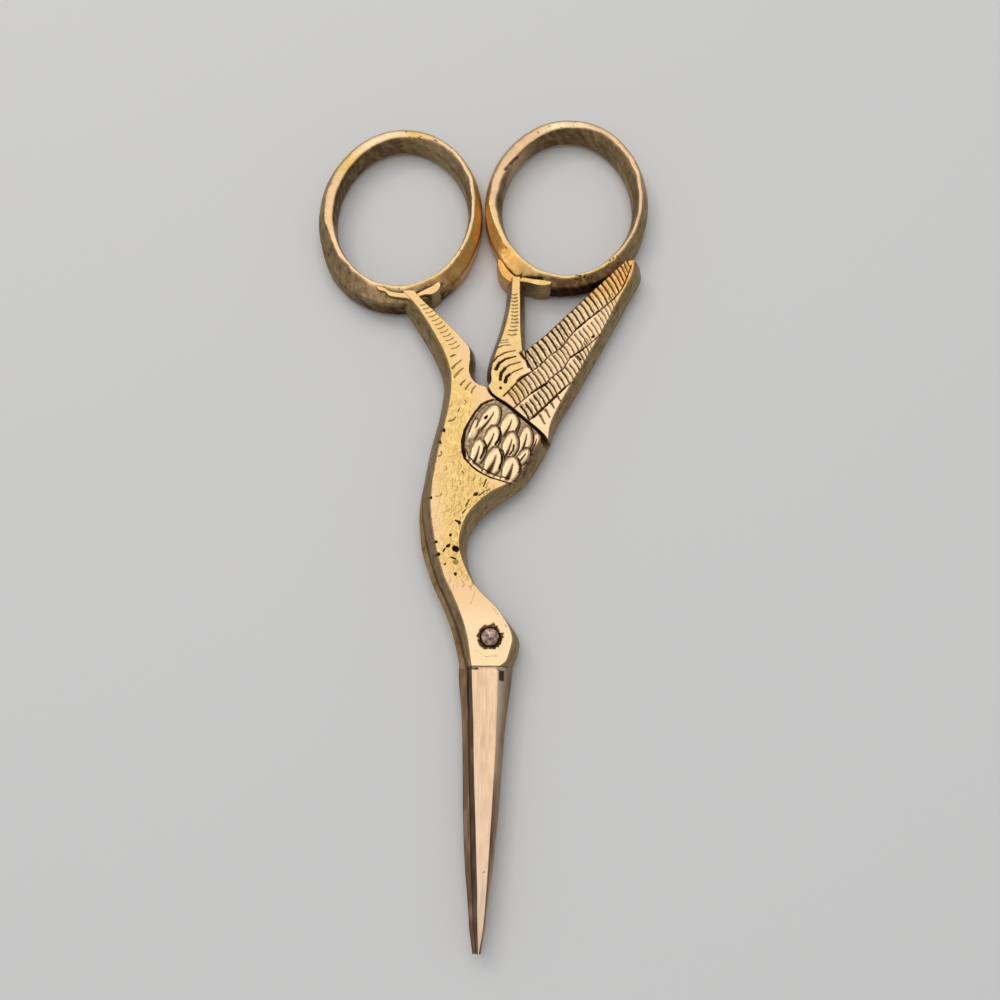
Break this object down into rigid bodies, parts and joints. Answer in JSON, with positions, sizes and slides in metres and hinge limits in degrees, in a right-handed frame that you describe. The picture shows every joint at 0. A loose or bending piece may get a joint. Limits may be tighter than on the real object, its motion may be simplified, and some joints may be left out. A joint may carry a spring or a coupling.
{
  "type": "stork embroidery scissors",
  "caption": "Small embroidery scissors shaped like a stork: the blades are its beak, the pivot screw its eye, and a finger ring stands on each leg.",
  "frame": {"origin": "on the pivot axis, in the plane of the back faces that the scissors lie on", "axes": "+Y from the pivot towards the finger rings, +Z out of the front face along the pivot axis, +X to the right with the rings up"},
  "size_m": [0.0485, 0.1158, 0.0044],
  "materials": {
    "gilt_steel_back": "steel with worn gold plating, pinkish where it is rubbed",
    "gilt_steel_front": "steel with worn gold plating, bare nickel tone on the blade",
    "screw_steel": "corroded dark steel"
  },
  "bodies": {
    "back_half": {"back_half": "gilt_steel_back", "pivot_screw": "screw_steel"},
    "front_half": {"front_half": "gilt_steel_front"}
  },
  "joints": [
    {"name": "pivot", "type": "hinge", "parent": "back_half", "child": "front_half", "pos_m": [0, 0, 0], "axis": [0, 0, 1], "range_deg": [0, 80]}
  ]
}
